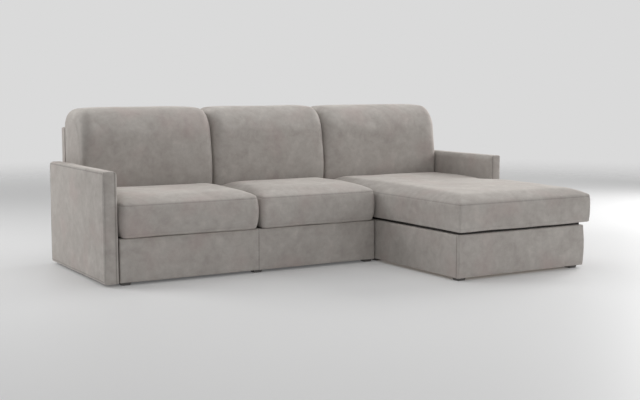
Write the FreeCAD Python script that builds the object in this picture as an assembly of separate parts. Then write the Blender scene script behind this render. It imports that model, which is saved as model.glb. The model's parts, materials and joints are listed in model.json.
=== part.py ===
import FreeCAD, Part
import math
import os

os.makedirs("parts", exist_ok=True)

V = FreeCAD.Vector

# A sectional sofa: a two-seat module with the left arm, and a chaise module with the right arm.
# +X runs along the back towards the chaise, +Y to the rear, +Z up.
# The origin is on the floor, under the middle of the whole set.

# Driving dimensions, mm
overall_width = 2612.0    # outer face of one arm to the outer face of the other
sofa_depth = 922.0        # arm front to the rear of the back
chaise_reach = 805.0      # nose of the chaise cushion ahead of the arm fronts
sofa_width = 1663.0       # sofa module, from the left arm's outer face to the joint between modules
module_gap = 3.0          # between the two modules
arm_thick = 75.0
arm_height = 600.0
back_thick = 57.0
back_height = 798.0
glide_height = 15.0
base_height = 247.0
seat_front_bulge = 20.0   # seat cushions stand this far ahead of the arm fronts
seat_crown = 451.0        # top of the seat cushions' crown
seat_seam = 418.0         # top seam of a seat cushion
chaise_seam = 408.0       # top seam of the chaise cushion
back_cushion_top = 911.0
back_cushion_thick = 286.0
seat_division = 890.0     # between the two seat cushions, from the left arm's outer face
board = 22.0              # seat box boards
box_board = 18.0          # storage box boards
pad = 8.0                 # wadding and fabric over the base boards
arm_pad = 14.0            # foam and fabric over the arm frames
lid_thick = 14.5
lid_gap = 0.5             # lid board above the base cover

# Places that follow from them
x_left = -overall_width / 2
x_right = overall_width / 2
x_left_arm = x_left + arm_thick
x_right_arm = x_right - arm_thick
x_joint = x_left + sofa_width
x_chaise = x_joint + module_gap
x_seats = x_left + seat_division
y_rear = (sofa_depth + chaise_reach) / 2
y_nose = -y_rear
y_arms = y_rear - sofa_depth
y_back = y_rear - back_thick
y_seat_end = y_back - back_cushion_thick - 6.0   # rear of the seat cushions
z_boards = glide_height + 4.0                    # lower edge of the boards, inside the cover's hem
z_lid = base_height + lid_gap
z_lid_top = z_lid + lid_thick
z_cushion = base_height + 1.0


# Shape helpers
def box(x0, x1, y0, y1, z0, z1):
    return Part.makeBox(x1 - x0, y1 - y0, z1 - z0, V(x0, y0, z0))


def at(plane, u, v, w):
    if plane == "XY":
        return V(u, v, w)
    if plane == "XZ":
        return V(u, w, v)
    return V(w, u, v)


def outline(plane, w, corners, radii):
    """Closed wire at w on the plane, with an arc at each corner whose radius is above 0."""
    count = len(corners)
    points = [V(u, v, 0) for u, v in corners]
    arcs = []
    for i, corner in enumerate(points):
        back = (points[i - 1] - corner).normalize()
        ahead = (points[(i + 1) % count] - corner).normalize()
        half = back.getAngle(ahead) / 2
        reach = radii[i] / math.tan(half)
        middle = (back + ahead).normalize()
        nearest = corner + middle * (radii[i] / math.sin(half) - radii[i])
        arcs.append((corner + back * reach, nearest, corner + ahead * reach))
    edges = []
    for i, (start, nearest, end) in enumerate(arcs):
        placed = [at(plane, p.x, p.y, w) for p in (start, nearest, end)]
        if radii[i] > 0:
            edges.append(Part.Arc(*placed).toShape())
        following = arcs[(i + 1) % count][0]
        edges.append(Part.LineSegment(placed[2], at(plane, following.x, following.y, w)).toShape())
    return Part.Wire(edges)


def plate(plane, w0, w1, corners, radii):
    """Flat plate from w0 to w1 over the plane, with rounded corners."""
    face = Part.Face(outline(plane, w0, corners, radii))
    return face.extrude(at(plane, 0, 0, w1 - w0))


def rectangle(u0, u1, v0, v1, inset=0.0):
    return [(u0 + inset, v0 + inset), (u1 - inset, v0 + inset),
            (u1 - inset, v1 - inset), (u0 + inset, v1 - inset)]


def fuse(shapes):
    return shapes[0].multiFuse(shapes[1:]).removeSplitter()


def rod(axis, start, length, radius):
    return Part.makeCylinder(radius, length, start, axis)


def softened(solid, radius, chosen):
    """Rounds the edges that the test chosen accepts."""
    return solid.makeFillet(radius, [e for e in solid.Edges if chosen(e.CenterOfMass)])


saved = []


def save(name, shape):
    shape.exportStep("parts/" + name + ".step")
    saved.append(name)
    print(name, len(shape.Solids), "solids", round(shape.Volume / 1e6, 3), "dm3", shape.isValid())


# Seat box of the sofa module
rail_top = base_height - 10.0
web_thick = 2.0
x_box0 = x_left_arm + 6.0         # sides of the seat box, over its cover
x_box1 = x_joint - 3.0
x_rail0 = x_box0 + 3.0            # sides of its frame
x_rail1 = x_box1 - 3.0
y_front_rail = y_arms + pad
y_rear_rail = y_back - board
rail_y0 = y_front_rail + board
centre_rail_z = z_boards + 30.0
front_rail = box(x_rail0, x_rail1, y_front_rail, rail_y0, z_boards, rail_top)
rear_rail = box(x_rail0, x_rail1, y_rear_rail, y_back, z_boards, rail_top)
left_rail = box(x_rail0, x_rail0 + board, rail_y0, y_rear_rail, z_boards, rail_top)
right_rail = box(x_rail1 - board, x_rail1, rail_y0, y_rear_rail, z_boards, rail_top)
centre_rail = box(x_seats - board / 2, x_seats + board / 2, rail_y0, y_rear_rail,
                  centre_rail_z, rail_top)


def corner_block(x, y, sx, sy, z0, z1):
    """Triangular block that fills a corner, its legs along sx and sy."""
    leg = 60.0
    corners = [V(x, y, z0), V(x + sx * leg, y, z0), V(x, y + sy * leg, z0), V(x, y, z0)]
    return Part.Face(Part.makePolygon(corners)).extrude(V(0, 0, z1 - z0))


sofa_block_z = (60.0, 200.0)
sofa_blocks = []
for block_x, step_x in ((x_rail0 + board, 1), (x_rail1 - board, -1)):
    sofa_blocks.append(corner_block(block_x, rail_y0, step_x, 1, *sofa_block_z))
    sofa_blocks.append(corner_block(block_x, y_rear_rail, step_x, -1, *sofa_block_z))

save("sofa_front_rail", front_rail)
save("sofa_rear_rail", rear_rail)
save("sofa_left_side_rail", left_rail)
save("sofa_right_side_rail", right_rail)
save("sofa_centre_rail", centre_rail)
save("sofa_corner_blocks", Part.makeCompound(sofa_blocks))

# Elastic straps from rail to rail, an even number under each seat
strap_width = 60.0
straps_per_seat = 6
strap_end = 4.0                   # from a strap's end to the outer face of its rail
strap_side = 20.0                 # from the seat box's side to the first strap's share of it


def straps(x0, x1):
    pitch = (x1 - x0) / straps_per_seat
    starts = [x0 + pitch * (i + 0.5) - strap_width / 2 for i in range(straps_per_seat)]
    return [box(x, x + strap_width, y_front_rail + strap_end, y_back - strap_end,
                rail_top, rail_top + web_thick)
            for x in starts]


webbing = straps(x_box0 + strap_side, x_seats) + straps(x_seats, x_box1 - strap_side)
save("sofa_seat_webbing", Part.makeCompound(webbing))

lip = board + pad + 4.0
deck = box(x_box0, x_box1, y_arms + lip, y_back, rail_top + web_thick, base_height)
save("sofa_deck_pad", deck)

glide_width = 54.0
glide_taper = 5.0
glide_inset = 38.0                # from a glide's middle to the module's edge


def glide(x, y, height):
    """Low square foot block that tapers down to the floor."""
    far = glide_width - glide_taper
    block = Part.makeWedge(0, 0, 0, glide_taper, glide_taper,
                           glide_width, height, glide_width, far, far)
    block.rotate(V(0, 0, 0), V(1, 0, 0), -90)
    block.translate(V(x - glide_width / 2, y - glide_width / 2, height))
    return block


sofa_glides = Part.makeCompound([glide(x, y, z_boards - 1)
                                 for x in (x_box0 + glide_inset, x_seats, x_box1 - glide_inset)
                                 for y in (y_arms + glide_inset, y_back - glide_inset)])
save("sofa_glides", sofa_glides)

# Front cover: padded channel round the front rail, with a seam groove under the cushion division
front_cover = box(x_box0, x_box1, y_arms, y_arms + lip, glide_height, base_height)
front_cover = softened(front_cover, 6.0, lambda c: c.y < y_arms + 1)
front_cover = front_cover.cut(box(x_rail0, x_rail1, y_front_rail, y_arms + lip + 1,
                                  z_boards, rail_top + web_thick))
seam_width = 3.0
seam_cut = box(x_seats - seam_width / 2, x_seats + seam_width / 2, y_arms - 1, y_arms + 1.5,
               0, base_height + 1)
save("sofa_front_cover", front_cover.cut(seam_cut).cut(sofa_glides))
save("sofa_underside_cloth", box(x_rail0, x_rail1, y_arms + lip, y_back,
                                 z_boards - 1, z_boards))


# Arms: a wooden frame inside a padded slab with a rounded rear top corner
arm_y0 = y_arms + arm_pad
arm_y1 = y_rear - arm_pad
arm_z1 = arm_height - arm_pad


def arm_frame(x0, x1):
    """Posts and rails, with a thin panel on each side and a deep lower rail for the bolts."""
    post = 45.0
    middle = y_arms + 440.0
    skin = 3.0
    lower_rail = 175.0
    slab = box(x0, x1, arm_y0, arm_y1, z_boards, arm_z1)
    for bay0, bay1 in ((arm_y0 + post, middle), (middle + post, arm_y1 - post)):
        slab = slab.cut(box(x0 + skin, x1 - skin, bay0, bay1, z_boards + lower_rail, arm_z1 - post))
    return slab


def arm_cover(x0, x1):
    """Padded slab round the frame, with a round rear top corner and rounded long edges."""
    outer = box(x0, x1, y_arms, y_rear, glide_height, arm_height)
    outer = softened(outer, 38.0, lambda c: c.y > y_rear - 1 and c.z > arm_height - 1)
    outer = softened(outer, 9.0, lambda c: c.z > glide_height + 20 and
                     (c.x < x0 + 1 or c.x > x1 - 1))
    return outer.cut(box(x0 + arm_pad, x1 - arm_pad, arm_y0, arm_y1, z_boards, arm_z1))


save("left_arm_frame", arm_frame(x_left + arm_pad, x_left_arm - arm_pad))
save("left_arm_cover", arm_cover(x_left, x_left_arm))
save("right_arm_frame", arm_frame(x_right_arm + arm_pad, x_right - arm_pad))
save("right_arm_cover", arm_cover(x_right_arm, x_right))


# Backs: a wooden ladder frame inside a padded panel that stands behind the seat box
def back_cover(x0, x1):
    outer = box(x0, x1, y_back, y_rear, glide_height, back_height)
    outer = softened(outer, 12.0, lambda c: c.z > back_height - 1)
    return outer.cut(box(x0 + pad, x1 - pad, y_back + pad, y_rear - pad, z_boards, back_height - pad))


def back_frame(x0, x1, bays):
    """Posts between three rails, two openings high and as many wide as bays says."""
    slab = box(x0 + pad, x1 - pad, y_back + pad, y_rear - pad, z_boards, back_height - pad)
    post = 50.0
    openings = ((80.0, 380.0), (440.0, back_height - pad - post))
    pitch = (x1 - x0 - 2 * pad - post) / bays
    for i in range(bays):
        bay = x0 + pad + post + pitch * i
        for z0, z1 in openings:
            slab = slab.cut(box(bay, bay + pitch - post, y_back, y_rear, z0, z1))
    return slab


sofa_back = (x_left_arm + 1, x_joint - 1)
chaise_back = (x_chaise + 1, x_right_arm - 1)
save("sofa_back_frame", back_frame(*sofa_back, 3))
save("sofa_back_cover", back_cover(*sofa_back))
save("chaise_back_frame", back_frame(*chaise_back, 2))
save("chaise_back_cover", back_cover(*chaise_back))

# Storage box of the chaise module
x_base0 = x_chaise + 1.0                    # left face of the base cover
x_base1 = x_right - 41.0                    # right face of the base cover ahead of the arm
y_base = y_nose + 20.0                      # front face of the base cover
y_filler = y_arms - 6.0                     # the base is this wide only ahead of the arm
board_top = base_height - 6.0
x_in0 = x_base0 + pad + box_board           # inner faces of the storage
x_in1 = x_right_arm - box_board
y_in0 = y_base + pad + box_board
y_in1 = y_seat_end + 8.0

left_board = box(x_base0 + pad, x_in0, y_in0, y_back - box_board, z_boards, board_top)
right_board = box(x_in1, x_right_arm, y_in0, y_back - box_board, z_boards, board_top)
foot_board = box(x_base0 + pad, x_base1 - pad, y_base + pad, y_in0, z_boards, board_top)
cross_board = box(x_in0, x_in1, y_in1, y_in1 + box_board, z_boards, board_top)
rear_board = box(x_base0 + pad, x_right_arm, y_back - box_board, y_back, z_boards, board_top)
side_panel = box(x_base1 - pad - box_board, x_base1 - pad, y_in0, y_filler, z_boards, board_top)
packer = 60.0
packers = [box(x_right_arm, x_base1 - pad - box_board, y, y + packer, z_boards, board_top)
           for y in (y_in0, y_in0 + 230, y_in0 + 460, y_filler - packer)]
save("chaise_left_board", left_board)
save("chaise_right_board", right_board)
save("chaise_foot_board", foot_board)
save("chaise_storage_back_board", cross_board)
save("chaise_rear_rail", rear_board)
save("chaise_side_panel", fuse([side_panel] + packers))

batten = 18.0
floor_z = z_boards + batten
floor_thick = 6.0
battens = [box(x_in0, x_in0 + batten, y_in0, y_in1, z_boards, floor_z),
           box(x_in1 - batten, x_in1, y_in0, y_in1, z_boards, floor_z)]
for share in (0.0, 0.25, 0.5, 0.75, 1.0):
    batten_y = y_in0 + share * (y_in1 - y_in0 - batten)
    battens.append(box(x_in0 + batten, x_in1 - batten, batten_y, batten_y + batten, z_boards, floor_z))
save("chaise_floor_battens", Part.makeCompound(battens))
save("chaise_storage_floor", box(x_in0, x_in1, y_in0, y_in1, floor_z, floor_z + floor_thick))
deck_y = y_in1 - 4.0
save("chaise_rear_deck", box(x_base0 + pad, x_right_arm, deck_y, y_back, board_top, base_height))
chaise_block_z = (40.0, 220.0)
chaise_blocks = []
for block_x, step_x in ((x_in0, 1), (x_in1, -1)):
    chaise_blocks.append(corner_block(block_x, y_in1 + box_board, step_x, 1, *chaise_block_z))
    chaise_blocks.append(corner_block(block_x, y_back - box_board, step_x, -1, *chaise_block_z))
save("chaise_corner_blocks", Part.makeCompound(chaise_blocks))

# Base cover: one padded skin round the foot, the open side and the step beside the arm
skin_corners = [(x_base0, y_base), (x_base1, y_base), (x_base1, y_filler + 4),
                (x_right_arm, y_filler + 4), (x_right_arm, y_back - box_board),
                (x_base0, y_back - box_board)]
skin = plate("XY", glide_height, base_height, skin_corners, [5.0, 5.0, 0, 0, 0, 0])
skin = skin.cut(box(x_base0 + pad, x_right_arm, y_base + pad, y_back, z_boards, board_top))
skin = skin.cut(box(x_right_arm - 1, x_base1 - pad, y_base + pad, y_filler, z_boards, board_top))
skin = skin.cut(box(x_in0, x_in1, y_in0, y_back, 0, base_height + 1))
skin = skin.cut(box(x_base0 + pad, x_right_arm + 1, deck_y, y_back, 0, base_height + 1))
chaise_glides = Part.makeCompound(
    [glide(x, y, z_boards)
     for x in (x_base0 + glide_inset, x_right_arm - glide_inset + pad)
     for y in (y_base + glide_inset, (y_base + y_back) / 2, y_back - glide_inset)])
save("chaise_glides", chaise_glides)
save("chaise_base_cover", skin.cut(chaise_glides))

# Hooks that join the modules: an upturned tongue on the seat box behind a lip on the storage box
hook_inset = 160.0
hook_ys = (y_arms + hook_inset, y_back - hook_inset)
hook_length = 50.0
hook_z = 110.0
hook_steel = 2.0
shelf_steel = 3.0
tongue_reach = 6.5                # rail to the far face of the tongue
tongue_top = hook_z + 30.0
lip_bottom = hook_z + 12.0
lip_top = hook_z + 36.0
x_tongue = x_rail1 + tongue_reach - hook_steel
x_lip = x_rail1 + hook_steel + 0.4
lip_steel = 1.8


def hook(y):
    y1 = y + hook_length
    return fuse([box(x_rail1, x_rail1 + hook_steel, y, y1, hook_z, hook_z + 50),
                 box(x_rail1, x_tongue + hook_steel, y, y1, hook_z, hook_z + shelf_steel),
                 box(x_tongue, x_tongue + hook_steel, y, y1, hook_z, tongue_top)])


def catch(y):
    y1 = y + hook_length
    return fuse([box(x_base0 - hook_steel, x_base0, y, y1, lip_bottom, hook_z + 70),
                 box(x_lip, x_base0, y, y1, lip_top - shelf_steel, lip_top),
                 box(x_lip, x_lip + lip_steel, y, y1, lip_bottom, lip_top)])


save("joining_hooks", Part.makeCompound([hook(y) for y in hook_ys]))
save("joining_catches", Part.makeCompound([catch(y) for y in hook_ys]))

# Lid of the storage: a board set back under the cushion, widened by a strip ahead of the arm
set_back = 20.0
x_lid1 = x_right_arm - 7.0
lid_board = box(x_base0 + set_back, x_lid1, y_base + set_back, y_seat_end - 2, z_lid, z_lid_top)
lid_strip = box(x_lid1, x_base1 - set_back, y_base + set_back, y_arms - set_back, z_lid, z_lid_top)
save("chaise_lid_board", Part.makeCompound([lid_board, lid_strip]))
batten_width = 45.0
batten_end = 40.0
lid_battens = [box(x, x + batten_width, y_in0 + batten_end, y_seat_end - batten_end,
                   z_lid - batten, z_lid)
               for x in (x_in0 + 60, (x_in0 + x_in1 - batten_width) / 2, x_in1 - 60 - batten_width)]
save("chaise_lid_battens", Part.makeCompound(lid_battens))

# Lid lift hinge on each side: a four-bar linkage in a vertical plane, (y, z) at rest
long_base = (205.2, 76.0)       # long lever's pivot on the base bracket
long_lid = (390.7, 190.7)       # long lever's pivot on the lid bracket
short_base = (231.9, 139.0)     # short lever's pivot on the base bracket
short_lid = (396.0, 227.0)      # short lever's pivot on the lid bracket
pin_r = 5.0
running_r = pin_r + 0.08
open_r = pin_r + 0.85           # the pivot that closes the linkage has play
head_r = 8.0
eye_r = 12.0
# Layers of the hinge, from the inner face of the box board inwards
base_layer = (0.0, 3.0)
short_layer = (5.0, 9.0)
lid_layer = (11.0, 14.0)
long_layer = (16.0, 20.0)
flange_reach = 36.0
lever_gap = short_layer[0] - base_layer[1]
lever_room = 0.3                # from a lever to the bolt head or collar beside it
bolt_head = 2.0
thin_head = lever_gap - 2 * lever_room


def side(x_face, inward, layer):
    """A layer's two x values, lowest first, on the side whose box board ends at x_face."""
    return sorted(x_face + inward * depth for depth in layer)


def lever_bar(x_face, inward, layer, p, q, hole_p, hole_q):
    """Straight bar with a round eye at each end."""
    x0, x1 = side(x_face, inward, layer)
    along = V(0, q[0] - p[0], q[1] - p[1])
    across = V(0, -along.z, along.y).normalize() * eye_r
    tip = V(along).normalize() * eye_r
    a = V(x0, *p)
    b = V(x0, *q)
    edges = [Part.LineSegment(a + across, b + across).toShape(),
             Part.Arc(b + across, b + tip, b - across).toShape(),
             Part.LineSegment(b - across, a - across).toShape(),
             Part.Arc(a - across, a - tip, a + across).toShape()]
    bar = Part.Face(Part.Wire(edges)).extrude(V(x1 - x0, 0, 0))
    for eye, hole in ((a, hole_p), (b, hole_q)):
        bar = bar.cut(rod(V(1, 0, 0), eye - V(1, 0, 0), x1 - x0 + 2, hole))
    return bar


def pivot(x_face, inward, eye, start, way, steps):
    """Shoulder bolt on a bracket's face: (length, radius, sides) steps, round where sides is 0."""
    pieces = []
    for length, radius, sides in steps:
        x = x_face + inward * start
        if sides:
            turns = [2 * math.pi * i / sides for i in range(sides + 1)]
            corners = [V(x, eye[0] + radius * math.cos(a), eye[1] + radius * math.sin(a)) for a in turns]
            pieces.append(Part.Face(Part.makePolygon(corners)).extrude(V(inward * way * length, 0, 0)))
        else:
            pieces.append(rod(V(inward * way, 0, 0), V(x, *eye), length, radius))
        start += way * length
    return fuse(pieces)


def base_bracket(x_face, inward):
    """Plate screwed to the box board, under both base pivots."""
    x0, x1 = side(x_face, inward, base_layer)
    corners = [(long_base[0] - 40, 56), (long_base[0] + 40, 56), (long_base[0] + 50, 66),
               (short_base[0] + 40, 150), (short_base[0] + 30, 160), (short_base[0] - 35, 160),
               (short_base[0] - 45, 150), (long_base[0] - 50, 66)]
    return plate("YZ", x0, x1, corners, [0] * 8)


def lid_bracket(x_face, inward):
    """Plate that hangs from the lid to both lid pivots, with a flange under the lid board."""
    x0, x1 = side(x_face, inward, lid_layer)
    top = z_lid
    y0 = long_lid[0] - 130
    y1 = long_lid[0] + 75
    corners = [(y0, top - 26), (long_lid[0] - 40, top - 40), (long_lid[0] - 16, long_lid[1] - 16),
               (long_lid[0] + 16, long_lid[1] - 16), (y1, top - 20), (y1, top), (y0, top)]
    hanger = plate("YZ", x0, x1, corners, [0, 0, 12.0, 12.0, 0, 0, 0])
    f0, f1 = side(x_face, inward, (lid_layer[0], flange_reach))
    flange = box(f0, f1, y0, y1, top - 3, top)
    return hanger.fuse(flange).removeSplitter()


hinge_sides = (("left", x_in0, 1), ("right", x_in1, -1))
for name, face_x, way in hinge_sides:
    save("base_bracket_" + name, base_bracket(face_x, way))
    save("lid_bracket_" + name, lid_bracket(face_x, way))
    save("long_lever_" + name,
         lever_bar(face_x, way, long_layer, long_base, long_lid, running_r, running_r))
    save("short_lever_" + name,
         lever_bar(face_x, way, short_layer, short_base, short_lid, running_r, open_r))

# Three of the pivots hold their lever next to the bracket; the long lever's collar spans the layers between
lever = long_layer[1] - long_layer[0]
shoulder = (lever_gap + lever + lever_room, pin_r, 0)
collar = (long_layer[0] - base_layer[1] - lever_room, head_r, 6)
long_base_pin = [collar, (lever + 2 * lever_room, pin_r, 0), (bolt_head, head_r, 6)]
short_pin = [shoulder, (thin_head, head_r, 6)]
long_lid_pin = [shoulder, (bolt_head, head_r, 6)]
base_pins = []
lid_pins = []
for name, face_x, way in hinge_sides:
    base_pins.append(pivot(face_x, way, long_base, base_layer[1], 1, long_base_pin))
    base_pins.append(pivot(face_x, way, short_base, base_layer[1], 1, short_pin))
    lid_pins.append(pivot(face_x, way, long_lid, lid_layer[1], 1, long_lid_pin))
    lid_pins.append(pivot(face_x, way, short_lid, lid_layer[0], -1, short_pin))
save("base_pivot_pins", Part.makeCompound(base_pins))
save("lid_pivot_pins", Part.makeCompound(lid_pins))


# Cushions: lofts through outlines that draw in at the seams and climb to a crown
def loft(wires):
    return Part.makeLoft(wires, True, True)


def boxed_levels(bottom, seam, crown):
    """(height, inset) from the bottom panel's edge over the swell of the side and the seam to the crown."""
    return [(bottom, 12), (bottom + 40, 0), (seam, 4), ((seam + crown) / 2, 56), (crown, 190)]


def seat_cushion(x0, x1):
    y0 = y_arms - seat_front_bulge
    wires = []
    for z, inset in boxed_levels(z_cushion, seat_seam, seat_crown):
        corners = rectangle(x0, x1, y0, y_seat_end, inset)
        wires.append(outline("XY", z, corners, [42.0] * 4))
    return loft(wires)


cushion_gap = 4.0
seat_left = (x_left_arm + cushion_gap, x_seats - cushion_gap / 2)
seat_right = (x_seats + cushion_gap / 2, x_joint - 7.0)
save("seat_cushion_left", seat_cushion(*seat_left))
save("seat_cushion_right", seat_cushion(*seat_right))


def chaise_outline(z, inset):
    x0 = x_joint - 3.0 + inset
    y0 = y_nose + inset
    wide = x_right - 15.0 - inset
    narrow = x_right_arm - cushion_gap - inset
    step = y_arms - 7.0 - inset
    end = y_seat_end - inset
    corners = [(x0, y0), (wide, y0), (wide, step), (narrow, step), (narrow, end), (x0, end)]
    return outline("XY", z, corners, [26.0, 26.0, 18.0, 10.0, 26.0, 26.0])


chaise_levels = boxed_levels(z_lid_top, chaise_seam, seat_crown - 1)
save("chaise_cushion", loft([chaise_outline(*level) for level in chaise_levels]))


def back_cushion(x0, x1):
    """Boxed cushion on edge, its levels running from the rear panel to the front crown."""
    y1 = y_back - 3.0
    y0 = y1 - back_cushion_thick + 3.0
    wires = []
    for reach, inset in boxed_levels(0, y1 - y0 - 24, y1 - y0):
        corners = rectangle(x0, x1, z_cushion, back_cushion_top, inset)
        corners = [(u, max(v, z_cushion + inset * 0.3)) for u, v in corners]
        wires.append(outline("XZ", y1 - reach, corners, [14.0, 14.0, 62.0, 62.0]))
    return loft(wires)


x_backs = (x_left_arm + cushion_gap, x_seats - 2, x_seats + 2, x_joint - 2,
           x_joint + 2, x_right_arm - cushion_gap)
save("back_cushion_left", back_cushion(x_backs[0], x_backs[1]))
save("back_cushion_middle", back_cushion(x_backs[2], x_backs[3]))
save("back_cushion_right", back_cushion(x_backs[4], x_backs[5]))
print(len(set(saved)), "nodes")
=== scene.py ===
import json
import math

import bpy
import numpy as np
from mathutils import Euler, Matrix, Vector, noise
from mathutils.bvhtree import BVHTree


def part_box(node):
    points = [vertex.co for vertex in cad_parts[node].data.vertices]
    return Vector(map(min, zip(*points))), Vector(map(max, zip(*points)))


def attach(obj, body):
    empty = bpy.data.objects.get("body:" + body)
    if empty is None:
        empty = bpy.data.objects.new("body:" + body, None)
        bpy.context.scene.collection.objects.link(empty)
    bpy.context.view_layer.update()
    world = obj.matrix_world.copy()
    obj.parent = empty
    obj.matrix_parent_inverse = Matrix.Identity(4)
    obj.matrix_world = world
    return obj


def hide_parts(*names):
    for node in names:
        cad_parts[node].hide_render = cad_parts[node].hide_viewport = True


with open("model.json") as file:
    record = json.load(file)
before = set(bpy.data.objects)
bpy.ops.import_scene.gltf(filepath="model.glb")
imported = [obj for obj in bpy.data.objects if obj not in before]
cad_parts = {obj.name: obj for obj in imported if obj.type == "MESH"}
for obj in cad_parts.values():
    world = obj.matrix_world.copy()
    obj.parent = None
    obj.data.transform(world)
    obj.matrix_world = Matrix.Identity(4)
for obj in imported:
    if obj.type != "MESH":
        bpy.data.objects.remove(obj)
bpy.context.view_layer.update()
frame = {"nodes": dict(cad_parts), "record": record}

# A sectional sofa in brushed suede microfibre: a two-seat module and a chaise with storage under its lid.
# Metres, in the frame of the CAD model: +X runs along the back towards the chaise, +Y to the rear.
mm = 0.001
nodes = frame["nodes"]


# Materials
def linear(code):
    """Linear colour of an sRGB hex value."""
    parts = [int(code[i:i + 2], 16) / 255 for i in (1, 3, 5)]
    return tuple(p / 12.92 if p <= 0.04045 else ((p + 0.055) / 1.055) ** 2.4 for p in parts) + (1.0,)


def add(tree, kind, inputs=(), **settings):
    """Adds a node with its settings; inputs maps a socket to a value or to the output that feeds it."""
    node = tree.nodes.new(kind)
    for key, value in settings.items():
        setattr(node, key, value)
    for key, value in dict(inputs).items():
        if isinstance(value, bpy.types.NodeSocket):
            tree.links.new(value, node.inputs[key])
        else:
            node.inputs[key].default_value = value
    return node


def start_material(name):
    """An empty material, its node tree, and the place on the piece in metres."""
    material = bpy.data.materials.new(name)
    material.use_nodes = True
    tree = material.node_tree
    tree.nodes.clear()
    return material, tree, add(tree, "ShaderNodeTexCoord").outputs["Object"]


def finish_material(tree, surface):
    shader = add(tree, "ShaderNodeBsdfPrincipled", surface)
    add(tree, "ShaderNodeOutputMaterial", {"Surface": shader.outputs[0]})


def ramp(tree, factor, stops):
    """Colour ramp through (position, hex) stops."""
    node = add(tree, "ShaderNodeValToRGB", {0: factor})
    elements = node.color_ramp.elements
    while len(elements) < len(stops):
        elements.new(0.5)
    for element, (position, code) in zip(elements, stops):
        element.position = position
        element.color = linear(code)
    return node


def suede(name, shift):
    """Suede microfibre. Short brushed nap lies this way and that, which leaves soft light and dark clouds
    a hand long with finer mottling in them, and a faint rosy cast where it lies flat. Very rough, with a
    pale sheen along the edges, and painted shade that darkens the creases of the seams."""
    material, tree, place = start_material(name)
    place = add(tree, "ShaderNodeMapping", {"Vector": place, "Location": shift}).outputs[0]
    clouds = add(tree, "ShaderNodeTexNoise", {"Vector": place, "Scale": 1 / 0.15, "Detail": 3.0,
                                              "Roughness": 0.6, "Distortion": 0.3})
    patches = add(tree, "ShaderNodeTexNoise", {"Vector": place, "Scale": 1 / 0.045, "Detail": 5.0,
                                               "Roughness": 0.68, "Distortion": 0.3})
    both = add(tree, "ShaderNodeMix", {"Factor": 0.55, "A": clouds.outputs[0], "B": patches.outputs[0]})
    colour = ramp(tree, both.outputs[0], [(0.36, "#a29c97"), (0.46, "#aaa49f"), (0.55, "#b0aba6"),
                                          (0.66, "#b9b4ae")])
    cast = add(tree, "ShaderNodeTexNoise", {"Vector": place, "Scale": 1 / 0.2, "Detail": 1.5,
                                            "Roughness": 0.5})
    cast_share = add(tree, "ShaderNodeMapRange", {"Value": cast.outputs[0], "From Min": 0.52,
                                                  "From Max": 0.76, "To Max": 0.45})
    tinted = add(tree, "ShaderNodeMix", {"Factor": cast_share.outputs[0], "A": colour.outputs[0],
                                         "B": linear("#ae9e9a")}, data_type="RGBA")
    # the nap is about 0.4 mm; drawn at 1.6 mm so that it shows
    nap = add(tree, "ShaderNodeTexNoise", {"Vector": place, "Scale": 1 / 0.0016, "Detail": 2.0})
    fleck = add(tree, "ShaderNodeMapRange", {"Value": nap.outputs[0], "From Min": 0.3, "From Max": 0.7,
                                             "To Min": 0.95, "To Max": 1.05})
    # painted shade: where a vertex carries the seam mark the colour is darkened, down to 0.62, for the
    # shade in the seam creases
    seam = add(tree, "ShaderNodeAttribute", attribute_name="seam")
    seam_painted_shade = add(tree, "ShaderNodeMapRange", {"Value": seam.outputs["Fac"], "From Min": 0.25,
                                              "To Min": 1.0, "To Max": 0.62})
    shade = add(tree, "ShaderNodeMath", {0: fleck.outputs[0], 1: seam_painted_shade.outputs[0]},
                operation="MULTIPLY")
    flecked = add(tree, "ShaderNodeVectorMath", {0: tinted.outputs["Result"], "Scale": shade.outputs[0]},
                  operation="SCALE")
    soft_bump = add(tree, "ShaderNodeBump", {"Strength": 0.2, "Distance": 0.004,
                                             "Height": patches.outputs[0]})
    fine_bump = add(tree, "ShaderNodeBump", {"Strength": 0.3, "Distance": 0.0005, "Height": nap.outputs[0],
                                             "Normal": soft_bump.outputs[0]})
    finish_material(tree, {
        "Base Color": flecked.outputs[0], "Roughness": 0.92, "Specular IOR Level": 0.25,
        "Sheen Weight": 0.3, "Sheen Roughness": 0.45, "Sheen Tint": linear("#e6e1da"),
        "Normal": fine_bump.outputs[0]})
    return material


def wood(name, light, dark, ring, along):
    """Planed timber: long grain streaks along one axis (0, 1 or 2), dull and open-pored."""
    material, tree, place = start_material(name)
    stretch = [1.0, 1.0, 1.0]
    stretch[along] = 0.06
    grain_at = add(tree, "ShaderNodeMapping", {"Vector": place, "Scale": stretch}).outputs[0]
    grain = add(tree, "ShaderNodeTexNoise", {"Vector": grain_at, "Scale": 1 / ring, "Detail": 5.0,
                                             "Roughness": 0.65, "Distortion": 0.4})
    colour = ramp(tree, grain.outputs[0], [(0.35, dark), (0.65, light)])
    bump = add(tree, "ShaderNodeBump", {"Strength": 0.2, "Distance": 0.0006, "Height": grain.outputs[0]})
    finish_material(tree, {"Base Color": colour.outputs[0],
                           "Roughness": 0.72, "Normal": bump.outputs[0]})
    return material


def particle_board():
    """Melamine-faced particle board: pale grey, satin, with the faint orange peel of pressed paper."""
    material, tree, place = start_material("melamine_faced_particle_board")
    peel = add(tree, "ShaderNodeTexNoise", {"Vector": place, "Scale": 1 / 0.002, "Detail": 2.0})
    smudge = add(tree, "ShaderNodeTexNoise", {"Vector": place, "Scale": 1 / 0.2, "Detail": 2.0})
    colour = ramp(tree, smudge.outputs[0], [(0.3, "#c9c6c0"), (0.7, "#d4d1cb")])
    bump = add(tree, "ShaderNodeBump", {"Strength": 0.12, "Distance": 0.0002, "Height": peel.outputs[0]})
    finish_material(tree, {"Base Color": colour.outputs[0],
                           "Roughness": 0.42, "Normal": bump.outputs[0]})
    return material


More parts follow.
